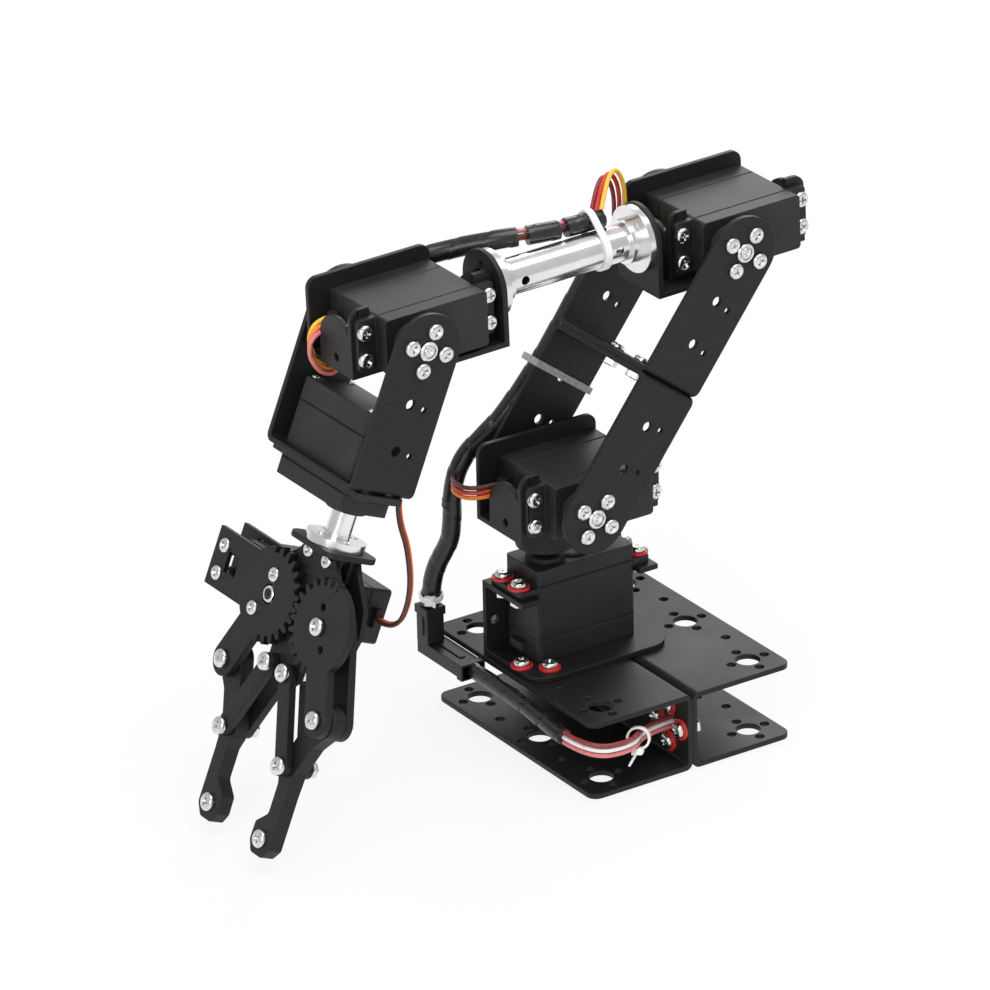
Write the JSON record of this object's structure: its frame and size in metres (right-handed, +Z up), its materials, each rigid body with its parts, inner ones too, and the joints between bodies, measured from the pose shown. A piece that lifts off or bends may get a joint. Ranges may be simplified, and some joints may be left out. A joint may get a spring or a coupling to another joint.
{
  "type": "robot arm with claw gripper",
  "caption": "Desktop servo robot arm on a bent-sheet base, with a turning shoulder, elbow, wrist and a geared two-finger claw.",
  "frame": {"origin": "middle of the base underside, on the table", "axes": "+Z up, +X the way the arm reaches, +Y towards the arm's left side"},
  "size_m": [0.2428, 0.1058, 0.2023],
  "materials": {
    "black_sheet": "satin black powder coat",
    "servo_plastic": "fine matt moulding",
    "red_fibre": "plain fibre",
    "screw_steel": "bright plated",
    "bright_aluminium": "bright anodised",
    "spiral_sleeve": "spiral wrap, satin",
    "lead_insulation": "soft wire insulation",
    "tie_nylon": "smooth nylon",
    "bearing_steel": "ground"
  },
  "bodies": {
    "base": {"base_front": "black_sheet", "base_rear": "black_sheet", "base_screws": "screw_steel", "base_washers": "red_fibre", "yaw_bracket": "black_sheet", "yaw_servo": "servo_plastic", "base_sleeve": "spiral_sleeve", "base_plugs": "servo_plastic", "front_sleeve": "spiral_sleeve", "base_wires": "lead_insulation"},
    "turret": {"yaw_horn": "black_sheet", "turntable": "black_sheet", "shoulder_bracket": "black_sheet", "shoulder_servo": "servo_plastic", "shoulder_pivot": "bearing_steel", "turret_screws": "screw_steel", "turret_sleeve": "spiral_sleeve", "shoulder_lead": "lead_insulation"},
    "upper_arm": {"lower_link": "black_sheet", "upper_link": "black_sheet", "arm_horns": "black_sheet", "arm_bearings": "bearing_steel", "arm_screws": "screw_steel", "arm_sleeve": "spiral_sleeve", "arm_tie": "tie_nylon"},
    "forearm": {"elbow_bracket": "black_sheet", "forearm_servos": "servo_plastic", "forearm_pivots": "bearing_steel", "tube_brackets": "black_sheet", "tube_flanges": "bright_aluminium", "forearm_tube": "bright_aluminium", "wrist_bracket": "black_sheet", "forearm_screws": "screw_steel", "forearm_sleeve": "spiral_sleeve", "tube_tie": "tie_nylon", "elbow_lead": "lead_insulation", "wrist_lead": "lead_insulation"},
    "hand": {"wrist_horn": "black_sheet", "wrist_bearing": "bearing_steel", "wrist_link": "black_sheet", "roll_servo": "servo_plastic", "wrist_screws": "screw_steel", "hand_lead": "lead_insulation"},
    "claw": {"roll_horn": "bright_aluminium", "claw_mount": "black_sheet", "claw_plate_front": "black_sheet", "claw_plate_back": "black_sheet", "claw_servo": "servo_plastic", "claw_spacers": "bright_aluminium", "claw_bolts": "screw_steel", "claw_lead": "lead_insulation"},
    "gear_left": {"gear_left": "black_sheet", "claw_horn": "bright_aluminium"},
    "gear_right": {"gear_right": "black_sheet"},
    "finger_left": {"finger_left": "black_sheet", "finger_left_bolts": "screw_steel"},
    "finger_right": {"finger_right": "black_sheet", "finger_right_bolts": "screw_steel"},
    "link_left": {"link_left": "black_sheet"},
    "link_right": {"link_right": "black_sheet"}
  },
  "joints": [
    {"name": "base_turn", "type": "hinge", "parent": "base", "child": "turret", "pos_m": [0.022, -0.008, 0.031], "axis": [0, 0, 1], "range_deg": [-90, 90]},
    {"name": "shoulder", "type": "hinge", "parent": "turret", "child": "upper_arm", "pos_m": [0.022, -0.003, 0.092], "axis": [0, -1, 0], "range_deg": [-30, 50]},
    {"name": "elbow", "type": "hinge", "parent": "upper_arm", "child": "forearm", "pos_m": [-0.04059, -0.003, 0.17506], "axis": [0, 1, 0], "range_deg": [-60, 15]},
    {"name": "wrist", "type": "hinge", "parent": "forearm", "child": "hand", "pos_m": [0.08837, -0.003, 0.17168], "axis": [0, -1, 0], "range_deg": [-25, 80]},
    {"name": "wrist_roll", "type": "hinge", "parent": "hand", "child": "claw", "pos_m": [0.08837, 0.0072, 0.17168], "axis": [0.3827, 0, -0.9239], "range_deg": [-90, 90]},
    {"name": "grip", "type": "hinge", "parent": "claw", "child": "gear_left", "pos_m": [0.12664, -0.0088, 0.07929], "axis": [-0.9239, 0, -0.3827], "range_deg": [-19, 25]},
    {"name": "gear_right_turn", "type": "hinge", "parent": "claw", "child": "gear_right", "pos_m": [0.12664, 0.0232, 0.07929], "axis": [-0.9239, 0, -0.3827], "range_deg": [-25, 19]},
    {"name": "finger_left_turn", "type": "hinge", "parent": "gear_left", "child": "finger_left", "pos_m": [0.13758, -0.022, 0.05287], "axis": [-0.9239, 0, -0.3827], "range_deg": [-25, 19]},
    {"name": "finger_right_turn", "type": "hinge", "parent": "gear_right", "child": "finger_right", "pos_m": [0.13758, 0.0364, 0.05287], "axis": [-0.9239, 0, -0.3827], "range_deg": [-19, 25]},
    {"name": "link_left_turn", "type": "hinge", "parent": "claw", "child": "link_left", "pos_m": [0.13452, 0.0016, 0.06026], "axis": [-0.9239, 0, -0.3827], "range_deg": [-19, 25]},
    {"name": "link_right_turn", "type": "hinge", "parent": "claw", "child": "link_right", "pos_m": [0.13452, 0.0128, 0.06026], "axis": [-0.9239, 0, -0.3827], "range_deg": [-25, 19]}
  ],
  "couplings": [
    {"joint": "gear_right_turn", "follows": "grip", "ratio": -1},
    {"joint": "finger_left_turn", "follows": "grip", "ratio": -1},
    {"joint": "finger_right_turn", "follows": "grip", "ratio": 1},
    {"joint": "link_left_turn", "follows": "grip", "ratio": 1},
    {"joint": "link_right_turn", "follows": "grip", "ratio": -1}
  ]
}
